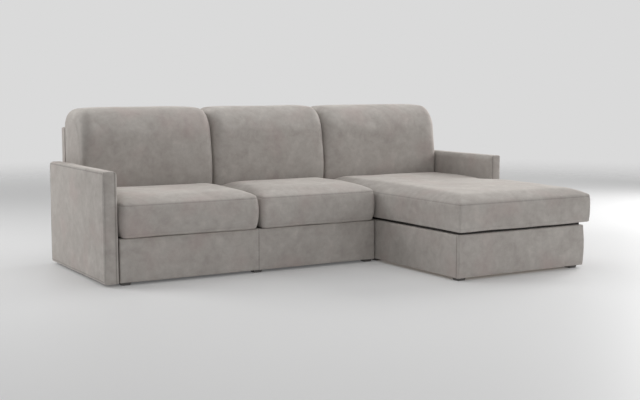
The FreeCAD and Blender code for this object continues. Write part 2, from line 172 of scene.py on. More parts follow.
def zinc_steel():
    """Pressed steel, zinc plated: cool grey metal, spangled in patches a few millimetres wide."""
    material, tree, place = start_material("zinc_plated_pressed_steel")
    spangle = add(tree, "ShaderNodeTexVoronoi", {"Vector": place, "Scale": 1 / 0.007})
    rough = add(tree, "ShaderNodeMapRange", {"Value": spangle.outputs["Color"], "To Min": 0.28,
                                             "To Max": 0.42})
    colour = ramp(tree, spangle.outputs["Distance"], [(0.0, "#c3c5c6"), (1.0, "#a9acae")])
    finish_material(tree, {"Base Color": colour.outputs[0], "Metallic": 1.0,
                           "Roughness": rough.outputs[0]})
    return material


def moulded_plastic(name, code):
    """Injection-moulded polypropylene: matt, with a fine spark-eroded grain of about a millimetre."""
    material, tree, place = start_material(name)
    grain = add(tree, "ShaderNodeTexNoise", {"Vector": place, "Scale": 1 / 0.001, "Detail": 2.0})
    tone = add(tree, "ShaderNodeMapRange", {"Value": grain.outputs[0], "To Min": 0.85, "To Max": 1.15})
    colour = add(tree, "ShaderNodeVectorMath", {0: linear(code)[:3], "Scale": tone.outputs[0]},
                 operation="SCALE")
    bump = add(tree, "ShaderNodeBump", {"Strength": 0.3, "Distance": 0.0002, "Height": grain.outputs[0]})
    finish_material(tree, {"Base Color": colour.outputs[0],
                           "Roughness": 0.55, "Normal": bump.outputs[0]})
    return material


def woven(name, warp_code, weft_code, thread, roughness):
    """Plain woven cloth: warp and weft threads cross at the thread spacing, one shade each."""
    material, tree, place = start_material(name)
    waves = []
    for axis in ("X", "Y"):
        wave = add(tree, "ShaderNodeTexWave", {"Vector": place, "Scale": 1 / (thread * 20),
                                               "Distortion": 0.4, "Detail": 1.0},
                   bands_direction=axis)
        waves.append(wave.outputs["Fac"])
    over = add(tree, "ShaderNodeMath", {0: waves[0], 1: waves[1]}, operation="MULTIPLY")
    colour = ramp(tree, over.outputs[0], [(0.1, warp_code), (0.8, weft_code)])
    bump = add(tree, "ShaderNodeBump", {"Strength": 0.4, "Distance": 0.0005, "Height": over.outputs[0]})
    finish_material(tree, {"Base Color": colour.outputs[0],
                           "Roughness": roughness, "Normal": bump.outputs[0]})
    return material


def thread_material():
    """Spun polyester sewing thread, a shade darker than the cloth, with a slight lustre."""
    material, tree, place = start_material("spun_polyester_thread")
    twist = add(tree, "ShaderNodeTexNoise", {"Vector": place, "Scale": 1 / 0.001, "Detail": 1.0})
    colour = ramp(tree, twist.outputs[0], [(0.3, "#7d7770"), (0.7, "#938d85")])
    finish_material(tree, {"Base Color": colour.outputs[0], "Roughness": 0.6, "Sheen Weight": 0.2})
    return material


seat_suede = suede("suede_microfibre_seats", (0.0, 0.0, 0.0))
back_suede = suede("suede_microfibre_backs", (3.1, 0.7, 1.9))
chaise_suede = suede("suede_microfibre_chaise", (5.3, 2.2, 0.4))
frame_suede = suede("suede_microfibre_base_and_arms", (1.7, 4.1, 2.6))
pine = [wood("planed_pine_along_" + "xyz"[n], "#d6b98a", "#b8925f", 0.006, n) for n in range(3)]
plywood = wood("birch_plywood", "#dcc7a0", "#c4a878", 0.012, 1)
# painted shade: near-black plywood for the lid board, so that the slot under the chaise cushion looks like
# shadow
slot_shade_plywood = wood("plywood_painted_dark_as_slot_shade", "#3a3735", "#2a2725", 0.012, 1)
melamine = particle_board()
zinc = zinc_steel()
glide_plastic = moulded_plastic("grey_polypropylene", "#5a5856")
webbing_cloth = woven("elastic_webbing", "#4a4a4c", "#6a6a6c", 0.0022, 0.8)
deck_cloth = woven("grey_deck_cloth", "#6f6c68", "#8a8782", 0.0016, 0.9)
dust_cloth = woven("spun_dust_cloth", "#2c2b2b", "#3a3939", 0.0014, 0.95)
thread = thread_material()

slot_materials = {
    "particle_board": melamine, "plywood": plywood, "zinc_plated_steel": zinc,
    "glide_plastic": glide_plastic, "elastic_webbing": webbing_cloth, "deck_cloth": deck_cloth,
    "dust_cloth": dust_cloth, "upholstery": frame_suede,
}


# Mesh helpers
def new_object(name, vertices, faces):
    mesh = bpy.data.meshes.new(name)
    mesh.from_pydata(vertices, [], faces)
    obj = bpy.data.objects.new(name, mesh)
    bpy.context.scene.collection.objects.link(obj)
    return obj


def spaced(start, end, step, close=(), also=()):
    """Grid lines from start to end: even steps, with extra ones at the distances close from both ends
    and at the places in also, where even ones nearby make room."""
    margin = max(close, default=0.0)
    count = max(1, round((end - start - 2 * margin) / step))
    even = np.linspace(start + margin, end - margin, count + 1)
    fixed = [start, end, *also, *(start + c for c in close), *(end - c for c in close)]
    even = [e for e in even if all(abs(e - f) > 0.45 * step for f in also)]
    return np.unique(np.round([*fixed, *even], 5))


class Shell:
    """Closed surface of the kept cells of a u, v grid, between the first and the last of the levels w.
    axes says which of x, y, z are u, v, w. Keeps each grid point's vertex number, and each rim in order."""

    def __init__(self, name, us, vs, ws, axes=(0, 1, 2), kept=None):
        self.us, self.vs, self.ws, self.axes = us, vs, ws, axes
        self.top = len(ws) - 1
        self.index = {}
        faces = []
        cells = {(i, j) for i in range(len(us) - 1) for j in range(len(vs) - 1)
                 if kept is None or kept((us[i] + us[i + 1]) / 2, (vs[j] + vs[j + 1]) / 2)}
        following = {}
        for i, j in sorted(cells):
            ring = [(i, j), (i + 1, j), (i + 1, j + 1), (i, j + 1)]
            faces.append([self.vertex(p, 0) for p in reversed(ring)])
            faces.append([self.vertex(p, self.top) for p in ring])
            beside = [(i, j - 1), (i + 1, j), (i, j + 1), (i - 1, j)]
            for side in range(4):
                if beside[side] not in cells:
                    following[ring[side]] = ring[(side + 1) % 4]
        for a, b in following.items():
            for k in range(self.top):
                faces.append([self.vertex(a, k), self.vertex(b, k),
                              self.vertex(b, k + 1), self.vertex(a, k + 1)])
        if axes in ((0, 2, 1), (1, 0, 2), (2, 1, 0)):
            faces = [face[::-1] for face in faces]
        self.rims = []
        while following:
            point = min(following)
            rim = []
            while point in following:
                rim.append(point)
                point = following.pop(point)
            self.rims.append(rim)
        points = np.zeros((len(self.index), 3))
        self.grid = np.array(list(self.index))
        for axis, lines, column in zip(axes, (us, vs, ws), range(3)):
            points[:, axis] = np.asarray(lines)[self.grid[:, column]]
        self.obj = new_object(name, points.tolist(), faces)

    def vertex(self, point, k):
        return self.index.setdefault((*point, k), len(self.index))

    def points(self):
        co = np.zeros(len(self.obj.data.vertices) * 3)
        self.obj.data.vertices.foreach_get("co", co)
        return co.reshape(-1, 3)

    def place(self, co):
        self.obj.data.vertices.foreach_set("co", co.ravel())
        self.obj.data.update()

    def normals(self):
        found = np.zeros(len(self.obj.data.vertices) * 3)
        self.obj.data.vertices.foreach_get("normal", found)
        return found.reshape(-1, 3)

    def rim_at(self, k, rim=0):
        """Vertex numbers of a level's rim, in order and closed."""
        ring = [self.index[(*point, k)] for point in self.rims[rim]]
        return ring + ring[:1]

    def line(self, way, value, k, low=None, high=None):
        """Vertex numbers along one grid line of the panel at level k: way 0 keeps u, way 1 keeps v."""
        lines = (self.us, self.vs)[way]
        other = (self.vs, self.us)[way]
        fixed = int(np.abs(np.asarray(lines) - value).argmin())
        found = []
        for n, place in enumerate(other):
            key = (fixed, n, k) if way == 0 else (n, fixed, k)
            inside = (low is None or place > low - 1e-6) and (high is None or place < high + 1e-6)
            if key in self.index and inside:
                found.append(self.index[key])
        return found

    def groove(self, chains, depth, painted_shade=1.0):
        """Presses seams in, and marks them for the painted shade that darkens their creases."""
        ids = sorted({int(n) for chain in chains for n in chain})
        co = self.points()
        co[ids] -= self.normals()[ids] * depth
        self.place(co)
        mesh = self.obj.data
        mark = mesh.attributes.get("seam") or mesh.attributes.new("seam", "FLOAT", "POINT")
        for n in ids:
            # how strong the painted shade in the seam creases is
            mark.data[n].value = painted_shade


def round_corner(co, plane, corner, ways, radii):
    """Bends what is near one sharp edge onto an ellipse. plane is the two axes across the edge, and ways
    says on which side of the middle the corner lies on each."""
    a, b = plane
    u = (co[:, a] - corner[0]) * ways[0] / radii[0] + 1
    v = (co[:, b] - corner[1]) * ways[1] / radii[1] + 1
    near = (u > 0) & (v > 0)
    u, v = np.minimum(u[near], 1), np.minimum(v[near], 1)
    co[near, a] = corner[0] + (u * np.sqrt(1 - v ** 2 / 2) - 1) * radii[0] * ways[0]
    co[near, b] = corner[1] + (v * np.sqrt(1 - u ** 2 / 2) - 1) * radii[1] * ways[1]


def wobble(co, normals, size, height, seed):
    """Uneven stuffing: pushes the points along their normals by smooth noise."""
    lift = np.array([noise.noise(Vector(p) / size + Vector((seed, seed * 1.7, 0))) for p in co])
    return co + normals * (lift * height)[:, None]


def puff(covers, pressure, cap):
    """Inflates the covers like cloth over their filling, all at once. Each is (shell, pinned vertices), and
    its seams are pinned too. The swell is evened out, and no point moves further than cap."""
    starts = []
    for shell, pinned in covers:
        obj = shell.obj
        starts.append(shell.points())
        held = obj.vertex_groups.new(name="held")
        held.add([int(n) for n in pinned], 1.0, "REPLACE")
        cloth = obj.modifiers.new("cover", "CLOTH")
        fabric = cloth.settings
        fabric.quality = 4
        fabric.mass = 0.4
        fabric.tension_stiffness = 25
        fabric.compression_stiffness = 25
        fabric.shear_stiffness = 10
        fabric.bending_stiffness = 5
        fabric.air_damping = 3.0
        fabric.vertex_group_mass = "held"
        fabric.use_pressure = True
        fabric.uniform_pressure_force = pressure
        fabric.effector_weights.gravity = 0.0
        cloth.collision_settings.use_collision = False
        cloth.collision_settings.use_self_collision = False
    scene = bpy.context.scene
    for step in range(1, 21):
        scene.frame_set(step)
    graph = bpy.context.evaluated_depsgraph_get()
    swells = []
    for (shell, pinned), start in zip(covers, starts):
        moved = np.zeros(len(start) * 3)
        shell.obj.evaluated_get(graph).data.vertices.foreach_get("co", moved)
        swells.append(moved.reshape(-1, 3) - start)
    for (shell, pinned), start, swell in zip(covers, starts, swells):
        shell.obj.modifiers.clear()
        even = evened(shell.obj.data, swell, pinned, 14)
        swell = even * 0.9 + swell * 0.1
        length = np.linalg.norm(swell, axis=1)
        shell.place(start + swell * (cap * np.tanh(length / cap) / np.maximum(length, 1e-9))[:, None])
    scene.frame_set(1)


def evened(mesh, field, pinned, rounds):
    """Averages a value per vertex with its neighbours, some rounds long; pinned ones stay zero."""
    ends = np.zeros(len(mesh.edges) * 2, dtype=int)
    mesh.edges.foreach_get("vertices", ends)
    a, b = ends[0::2], ends[1::2]
    count = np.bincount(ends, minlength=len(field))[:, None]
    field = field.copy()
    for n in range(rounds):
        total = np.zeros_like(field)
        np.add.at(total, a, field[b])
        np.add.at(total, b, field[a])
        field = (field + total / count) / 2
        field[pinned] = 0
    return field


def refine(obj, levels=1):
    """Applies subdivision surfaces and smooth shading. The first vertices stay the ones it had."""
    modifier = obj.modifiers.new("finer", "SUBSURF")
    modifier.levels = modifier.render_levels = levels
    evaluated = obj.evaluated_get(bpy.context.evaluated_depsgraph_get())
    finer = bpy.data.meshes.new_from_object(evaluated)
    obj.modifiers.clear()
    obj.vertex_groups.clear()
    old = obj.data
    obj.data = finer
    bpy.data.meshes.remove(old)
    obj.data.shade_smooth()


def dress(obj, material, body, replaced):
    """Gives a finished piece its material and body, and hides the CAD nodes that it stands for."""
    obj.data.materials.clear()
    obj.data.materials.append(material)
    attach(obj, body)
    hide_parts(*replaced)
    return obj


def settle(shell, co, size, height, seed):
    """Places the points, a little uneven."""
    shell.place(co)
    shell.place(wobble(co, shell.normals(), size, height, seed))


sewn_rows = {}


def sew(body, shell, chains, offset=3.5 * mm):
    """Remembers where the stitches of a finished piece go: beside each seam, offset to its left."""
    co = shell.points()
    shape = BVHTree.FromPolygons(co.tolist(), [tuple(f.vertices) for f in shell.obj.data.polygons])
    for chain in chains:
        line = co[chain]
        run = np.concatenate([[0], np.cumsum(np.linalg.norm(np.diff(line, axis=0), axis=1))])
        count = int(run[-1] / (4.4 * mm))
        at = (np.arange(count) + 0.5) * run[-1] / count
        places = np.stack([np.interp(at, run, line[:, n]) for n in range(3)], 1)
        ahead = np.gradient(places, axis=0)
        for place, along in zip(places, ahead):
            along = Vector(along).normalized()
            normal = shape.find_nearest(Vector(place))[1]
            spot, normal, *rest = shape.find_nearest(Vector(place) + normal.cross(along) * offset)
            sewn_rows.setdefault(body, []).append((spot, normal, along))


def upholster(shell, seams, depth, node, material):
    """Finishes a padded cover of the frame: pressed seams, smooth surface, stitches and material."""
    # these seams get the full painted shade in their creases
    shell.groove(seams, depth)
    refine(shell.obj)
    sew("frame", shell, seams)
    dress(shell.obj, material, "frame", [node])


# Cushions
def way_in(co, corners, reaches):
    """How far in each point lies from the sides of the plan outline, softly the least of gap / reach."""
    total = np.zeros(len(co))
    for (x0, y0), (x1, y1), reach in zip(corners, corners[1:] + corners[:1], reaches):
        along = np.array([x1 - x0, y1 - y0])
        share = np.clip(((co[:, 0] - x0) * along[0] + (co[:, 1] - y0) * along[1]) / (along @ along), 0, 1)
        gap = np.hypot(co[:, 0] - x0 - share * along[0], co[:, 1] - y0 - share * along[1])
        total += (reach / np.maximum(gap, 1e-5)) ** 4
    return total ** -0.25


def quarter(share):
    """Height of a quarter circle of radius 1, from 0 at its foot to 1 at its top."""
    return np.sqrt(1 - (1 - np.clip(share, 0, 1)) ** 2)


class FlatCushion:
    """Boxed cushion: a crowned top panel, a side band that bulges between two seams, and a flat bottom
    panel. reach is how far the rounding of the top comes in from the front, the sides and the rear, lift is
    how much fuller the crown is behind, and lead and right are how far the front and the right end bulge
    out of the box. notch is the corner (x, y) of the plan beyond which nothing is kept."""

    def __init__(self, name, low, high, seam_z, corner_r, reach, lift, bulge, tuck, lead, right, seed,
                 notch=None):
        self.low, self.seam_z, self.bulge, self.tuck = low, seam_z, bulge, tuck
        x0, y0, x1, y1 = low.x + bulge, low.y + bulge - lead, high.x - bulge + right, high.y - bulge
        foot = low.z + 20 * mm
        close = (4 * mm, 10 * mm, 20 * mm)
        kept = None
        corners = [(x0, y0), (x1, y0), (x1, y1), (x0, y1)]
        ahead, beside, behind = reach
        reaches = [ahead, beside, behind, beside]
        turns = [((x0, y0), (-1, -1)), ((x1, y0), (1, -1)), ((x1, y1), (1, 1)), ((x0, y1), (-1, 1))]
        also_x = also_y = ()
        if notch:
            nx, ny = notch[0] - bulge, notch[1] - bulge
            kept = lambda x, y: x < nx or y < ny
            corners = [(x0, y0), (x1, y0), (x1, ny), (nx, ny), (nx, y1), (x0, y1)]
            reaches = [ahead, beside, beside, behind, behind, beside]
            turns = turns[:2] + [((x1, ny), (1, 1)), ((nx, y1), (1, 1))] + turns[3:]
            also_x = [nx - c for c in (*close, 0)]
            also_y = [ny - c for c in (*close, 0)]
        us = spaced(x0, x1, 16 * mm, close, also_x)
        vs = spaced(y0, y1, 16 * mm, close, also_y)
        ws = spaced(low.z, seam_z, 16 * mm, (4 * mm,), (low.z + 9 * mm, foot, foot + 5 * mm))
        shell = self.shell = Shell(name, us, vs, ws, kept=kept)
        co = shell.points()
        share = way_in(co, corners, reaches)
        crown = high.z - seam_z + lift * np.clip((co[:, 1] - y0) / (0.5 * (y1 - y0)), 0, 1)
        rise = crown * (0.9 * quarter(share) + 0.1 * quarter(share / 2))
        rim = np.zeros(len(co), dtype=bool)
        rim[[shell.index[(*point, shell.top)] for ring in shell.rims for point in ring]] = True
        lifted = (shell.grid[:, 2] == shell.top) & ~rim
        co[lifted, 2] += rise[lifted]
        # between their corners the sides pull in a little
        middle = np.array([(x0 + x1) / 2, (y0 + y1) / 2])
        half = np.array([(x1 - x0) / 2, (y1 - y0) / 2])
        share = (co[:, :2] - middle) / half
        co[:, :2] -= 2.5 * mm * share ** 3 * (1 - share[:, ::-1] ** 2)
        for corner, ways in turns:
            round_corner(co, (0, 1), corner, ways, (corner_r, corner_r))
        under = shell.grid[:, 2] == 0
        self.swell_band(co, foot)
        co[under, :2] = middle + (co[under, :2] - middle) * (1 - self.tuck / half)
        settle(shell, co, 0.23, 3 * mm, seed)
        foot_level = int(np.abs(ws - foot).argmin())
        self.seams = [shell.rim_at(shell.top), shell.rim_at(foot_level)]
        self.pinned = np.flatnonzero(~lifted)

    def swell_band(self, co, foot):
        """Pushes the side band out between its seams, and rounds it under below the lower one."""
        shell = self.shell
        ring = np.array(shell.rim_at(shell.top)[:-1])
        ahead = co[np.roll(ring, -1), :2] - co[np.roll(ring, 1), :2]
        outward = np.stack([ahead[:, 1], -ahead[:, 0]], 1)
        outward /= np.linalg.norm(outward, axis=1)[:, None]
        for k, z in enumerate(shell.ws[1:], 1):
            if z > foot:
                share = (z - foot) / (self.seam_z - foot)
                push = self.bulge * (1 - abs(2 * share - 1) ** 2.4)
            else:
                push = -self.tuck * (1 - float(quarter((z - self.low.z) / (foot - self.low.z))))
            co[shell.rim_at(k)[:-1], :2] += outward * push

    def finish(self):
        # the last number is how strong the painted shade in each seam's creases is
        self.shell.groove(self.seams[:1], 2.6 * mm, 0.7)
        self.shell.groove(self.seams[1:], 1.5 * mm, 0.4)
        refine(self.shell.obj)


class BackCushion:
    """Upright cushion: one long panel runs up the front, over the deep round top and down the rear, sewn
    to a side panel at each end. Its sides press flat against what is beside it."""

    def __init__(self, name, low, high, seed):
        y0, y1 = low.y, high.y
        z0, z1 = low.z + 2 * mm, high.z - 5 * mm
        x0, x1 = low.x - 1.2 * mm, high.x + 1.2 * mm
        close = (5 * mm, 12 * mm, 22 * mm, 36 * mm)
        us = spaced(y0, y1, 16 * mm, close)
        vs = spaced(z0, z1, 16 * mm, close)
        ws = spaced(x0, x1, 16 * mm, close)
        shell = self.shell = Shell(name, us, vs, ws, axes=(1, 2, 0))
        co = shell.points()
        round_corner(co, (1, 2), (y0, z1), (-1, 1), (105 * mm, 125 * mm))
        round_corner(co, (1, 2), (y1, z1), (1, 1), (40 * mm, 40 * mm))
        round_corner(co, (1, 2), (y0, z0), (-1, -1), (30 * mm, 30 * mm))
        # round the ends the front and the top draw in: a little low down, more towards the top
        up = np.clip((co[:, 2] - z0 - 0.3 * (z1 - z0)) / (0.62 * (z1 - z0)), 0, 1)
        up = up * up * (3 - 2 * up)
        end = np.minimum(co[:, 0] - x0, x1 - co[:, 0])
        front_reach = 26 * mm + 34 * mm * up
        front_draw = front_reach * (1 - quarter(end / front_reach))
        top_reach = 66 * mm
        top_draw = top_reach * (1 - quarter(end / top_reach)) * up
        ahead = (y1 - co[:, 1]) / (y1 - y0)
        # above the seat the front bulges, most a little below the middle of that part
        share = np.clip((co[:, 2] - z0 - 0.27 * (z1 - z0)) / (0.73 * (z1 - z0)), 0, 1)
        belly = 16 * mm * np.sin(math.pi * share ** 0.75)
        co[:, 1] += (front_draw - belly) * ahead
        co[:, 2] -= top_draw * (co[:, 2] - z0) / (z1 - z0)
        shell.place(co)
        inner = (shell.grid[:, 2] > 0) & (shell.grid[:, 2] < shell.top)
        waved = wobble(co, shell.normals(), 0.26, 3.5 * mm, seed)
        co[inner] = waved[inner]
        shell.place(co)
        self.seams = [shell.rim_at(0), shell.rim_at(shell.top)]
        self.pinned = np.flatnonzero((co[:, 2] < z0 + 0.27 * (z1 - z0)) | (co[:, 1] > y1 - 5 * mm) | ~inner)

    def finish(self):
        # the last number is how strong the painted shade in the seam creases is
        self.shell.groove(self.seams, 1.5 * mm, 0.2)
        refine(self.shell.obj)


arm_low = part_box("right_arm_cover")[0]
cushions = []
for side, seed in (("left", 1.0), ("right", 6.0)):
    node = "seat_cushion_" + side
    cover = FlatCushion("seat_cushion_cover_" + side, *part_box(node), seam_z=418 * mm, corner_r=28 * mm,
                        reach=(165 * mm, 62 * mm, 40 * mm), lift=12 * mm, bulge=10 * mm, tuck=20 * mm,
                        lead=11 * mm, right=0.0, seed=seed)
    cushions.append((cover, node, node, seat_suede, 0.75))
cover = FlatCushion("chaise_cushion_cover", *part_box("chaise_cushion"), seam_z=408 * mm, corner_r=13 * mm,
                    reach=(105 * mm, 95 * mm, 40 * mm), lift=9 * mm, bulge=2.5 * mm, tuck=7 * mm,
                    lead=0.0, right=9 * mm, seed=11.0,
                    notch=(arm_low.x - 5 * mm, arm_low.y - 11 * mm))
cushions.append((cover, "chaise_cushion", "lid", chaise_suede, 0.8))
for side, seed in (("left", 3.0), ("middle", 8.0), ("right", 14.0)):
    node = "back_cushion_" + side
    cushions.append((BackCushion("back_cushion_cover_" + side, *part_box(node), seed), node, node,
                     back_suede, 0.7))
puff([(cushion.shell, cushion.pinned) for cushion, *rest in cushions], 4.0, 9 * mm)
for cushion, node, body, material, fill in cushions:
    cushion.finish()
    sew(body, cushion.shell, cushion.seams[:1])
    dress(cushion.shell.obj, material, body, [node])


# Padded covers of the arms, the back and the base
def swell(co, axis, outward, low, high, height):
    """Padding: lifts the middle of a panel that faces along axis; low and high are its plane's box."""
    others = [n for n in range(3) if n != axis]
    lift = np.full(len(co), height)
    for n in others:
        share = np.clip(2 * (co[:, n] - low[n]) / (high[n] - low[n]) - 1, -1, 1)
        lift *= 1 - share ** 6
    face = high[axis] if outward > 0 else low[axis]
    near = np.abs(co[:, axis] - face) < 1e-4
    co[near, axis] += outward * lift[near]


def arm(name, node, outer, seed):
    """Thin upholstered arm: a side panel inside a border seam, and a band that runs up the front, over the
    top and down the rear. outer is the way of its outer side along X."""
    low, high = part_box(node)
    soft = 3 * mm
    border = 12 * mm
    edge = (3 * mm, 7 * mm, border, 18 * mm, 27 * mm, 38 * mm)
    us = spaced(low.y, high.y, 22 * mm, edge)
    vs = spaced(low.z, high.z, 22 * mm, edge)
    ws = spaced(low.x, high.x, 12 * mm, (4 * mm, 11 * mm))
    shell = Shell(name, us, vs, ws, axes=(1, 2, 0))
    co = shell.points()
    box_low, box_high = Vector(co.min(0)), Vector(co.max(0))
    for way in (-1, 1):
        swell(co, 0, way, box_low, box_high, soft)
    swell(co, 1, -1, box_low, box_high, soft * 0.7)
    inner_x = box_low.x if outer > 0 else box_high.x
    outer_x = box_high.x if outer > 0 else box_low.x
    round_corner(co, (0, 2), (inner_x, box_high.z), (-outer, 1), (26 * mm, 26 * mm))
    round_corner(co, (0, 2), (outer_x, box_high.z), (outer, 1), (10 * mm, 10 * mm))
    round_corner(co, (0, 1), (inner_x, box_low.y), (-outer, -1), (12 * mm, 12 * mm))
    round_corner(co, (0, 1), (outer_x, box_low.y), (outer, -1), (7 * mm, 7 * mm))
    for way in (-1, 1):
        side_x = inner_x if way == -outer else outer_x
        round_corner(co, (0, 1), (side_x, box_high.y), (way, 1), (8 * mm, 8 * mm))
        round_corner(co, (0, 2), (side_x, box_low.z), (way, -1), (5 * mm, 5 * mm))
    round_corner(co, (1, 2), (box_high.y, box_high.z), (1, 1), (38 * mm, 38 * mm))
    round_corner(co, (1, 2), (box_high.y, box_low.z), (1, -1), (16 * mm, 16 * mm))
    round_corner(co, (1, 2), (box_low.y, box_high.z), (-1, 1), (9 * mm, 9 * mm))
    settle(shell, co, 0.17, 1.6 * mm, seed)
    panel = shell.top if outer > 0 else 0
    y0, y1 = us[0] + border, us[-1] - border
    z0, z1 = vs[0] + border, vs[-1] - border
    seams = [shell.line(0, y1, panel, z0, z1), shell.line(1, z0, panel, y0, y1),
             shell.line(1, z1, panel, y0, y1), shell.line(0, y0, panel, z0, z1)]
    inner_level = 2 if outer > 0 else shell.top - 2
    band = [shell.index[(0, j, inner_level)] for j in range(len(vs))]
    seams.append(band)
    upholster(shell, seams, 1.8 * mm, node, frame_suede)


for side, outer, seed in (("left", -1, 2.0), ("right", 1, 5.0)):
    arm(side + "_arm_upholstery", side + "_arm_cover", outer, seed)


def back_panel(name, node, upright_seams, seed):
    """Upholstered back board, seen from behind: a border seam and upright seams on its rear panel."""
    low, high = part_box(node)
    border = 14 * mm
    edge = (3 * mm, 8 * mm, border, 21 * mm)
    around = [x + d for x in upright_seams for d in (-6 * mm, 0.0, 6 * mm)]
    us = spaced(low.x, high.x, 24 * mm, edge, around)
    vs = spaced(low.z, high.z, 24 * mm, edge)
    ws = spaced(low.y, high.y, 14 * mm, (4 * mm,))
    shell = Shell(name, us, vs, ws, axes=(0, 2, 1))
    co = shell.points()
    swell(co, 1, 1, low, high, 3 * mm)
    for way, y in ((-1, low.y), (1, high.y)):
        round_corner(co, (1, 2), (y, high.z), (way, 1), (13 * mm, 13 * mm))
    for way, x in ((-1, low.x), (1, high.x)):
        round_corner(co, (0, 1), (x, high.y), (way, 1), (6 * mm, 6 * mm))
        round_corner(co, (0, 2), (x, high.z), (way, 1), (14 * mm, 14 * mm))
    settle(shell, co, 0.2, 1.6 * mm, seed)
    seams = [shell.line(0, us[0] + border, shell.top, low.z + border, high.z - border),
             shell.line(0, us[-1] - border, shell.top, low.z + border, high.z - border),
             shell.line(1, low.z + border, shell.top, low.x + border, high.x - border),
             shell.line(1, high.z - border, shell.top, low.x + border, high.x - border)]
    seams += [shell.line(0, x, shell.top, low.z + border, high.z - border) for x in upright_seams]
    upholster(shell, seams, 1.8 * mm, node, frame_suede)


seat_split = (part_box("seat_cushion_left")[1].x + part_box("seat_cushion_right")[0].x) / 2
for name, node, upright, seed in (("sofa_back_upholstery", "sofa_back_cover", [seat_split], 4.0),
                                  ("chaise_back_upholstery", "chaise_back_cover", [], 9.0)):
    back_panel(name, node, upright, seed)


def front_panel():
    """Padded front of the seat box, in two widths sewn together under the split between the cushions."""
    node = "sofa_front_cover"
    low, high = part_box(node)
    edge = (3 * mm, 8 * mm, 14 * mm)
    us = spaced(low.x, high.x, 22 * mm, edge, [seat_split + d * mm for d in (-14, -5, 0, 5, 14)])
    vs = spaced(low.z, high.z, 16 * mm, edge)
    ws = spaced(low.y, high.y, 10 * mm, (4 * mm,))
    shell = Shell("sofa_front_upholstery", us, vs, ws, axes=(0, 2, 1))
    co = shell.points()
    left_high = Vector((seat_split, high.y, high.z))
    right_low = Vector((seat_split, low.y, low.z))
    for panel_low, panel_high in ((low, left_high), (right_low, high)):
        swell(co, 1, -1, panel_low, panel_high, 4 * mm)
    round_corner(co, (1, 2), (low.y, high.z), (-1, 1), (9 * mm, 9 * mm))
    round_corner(co, (1, 2), (low.y, low.z), (-1, -1), (7 * mm, 7 * mm))
    for way, x in ((-1, low.x), (1, high.x)):
        round_corner(co, (0, 1), (x, low.y), (way, -1), (8 * mm, 8 * mm))
    settle(shell, co, 0.16, 1.4 * mm, 7.0)
    seams = [shell.line(0, seat_split, 0)]
    upholster(shell, seams, 2.4 * mm, node, frame_suede)


front_panel()


def chaise_base():
    """Padded cover round the storage box: foot, open side, and the step beside the arm."""
    node = "chaise_base_cover"
    low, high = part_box(node)
    pad = 8 * mm
    inset = 1.5 * mm
    inner_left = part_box("chaise_left_board")[1].x - inset
    inner_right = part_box("chaise_right_board")[0].x + inset
    inner_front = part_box("chaise_foot_board")[1].y - inset
    beside_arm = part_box("chaise_right_board")[1].x
    step_y = arm_low.y - 2 * mm
    deck_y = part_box("chaise_rear_deck")[0].y

    def kept(x, y):
        if x > beside_arm and y > step_y:
            return False
        if y > deck_y:
            return x < low.x + pad
        return not (inner_left < x < inner_right and y > inner_front)

    edge = (3 * mm, 8 * mm, 14 * mm)
    us = spaced(low.x, high.x, 22 * mm, edge, (inner_left, inner_right, beside_arm))
    vs = spaced(low.y, high.y, 22 * mm, edge, (inner_front, step_y, deck_y))
    ws = spaced(low.z, high.z, 16 * mm, (3 * mm, 8 * mm))
    shell = Shell("chaise_base_upholstery", us, vs, ws, kept=kept)
    co = shell.points()
    for way, x in ((-1, low.x), (1, high.x)):
        round_corner(co, (0, 1), (x, low.y), (way, -1), (10 * mm, 10 * mm))
        round_corner(co, (0, 2), (x, high.z), (way, 1), (6 * mm, 6 * mm))
        round_corner(co, (0, 2), (x, low.z), (way, -1), (5 * mm, 5 * mm))
    round_corner(co, (1, 2), (low.y, high.z), (-1, 1), (6 * mm, 6 * mm))
    round_corner(co, (1, 2), (low.y, low.z), (-1, -1), (5 * mm, 5 * mm))
    height = np.clip(2 * (co[:, 2] - low.z) / (high.z - low.z) - 1, -1, 1)
    belly = 6 * mm * (1 - height ** 2)
    for axis, face, way in ((0, high.x, 1), (1, low.y, -1)):
        near = np.clip(1 - np.abs(co[:, axis] - face) / (12 * mm), 0, 1)
        co[:, axis] += way * belly * near
    settle(shell, co, 0.16, 1.4 * mm, 12.0)
    seams = []
    for i in (0, len(us) - 1):
        j = int(np.abs(vs - (low.y + 14 * mm)).argmin())
        seams.append([shell.index[(i, j, k)] for k in range(shell.top + 1)])
    upholster(shell, seams, 2.0 * mm, node, frame_suede)


chaise_base()


def deck():
    """Thin quilted pad on the webbing, under the seat cushions."""
    low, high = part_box("sofa_deck_pad")
    thirds = [low.x + (high.x - low.x) * n / 6 for n in range(1, 6)]
    around = [x + d for x in thirds for d in (-8 * mm, 0.0, 8 * mm)]
    us = spaced(low.x, high.x, 30 * mm, (4 * mm, 10 * mm), around)
    vs = spaced(low.y, high.y, 30 * mm, (4 * mm, 10 * mm))
    shell = Shell("seat_deck_pad", us, vs, np.array([low.z, high.z]))
    settle(shell, shell.points(), 0.12, 0.8 * mm, 3.0)
    seams = [shell.line(0, x, shell.top) for x in thirds]
    upholster(shell, seams, 3.5 * mm, "sofa_deck_pad", deck_cloth)


deck()


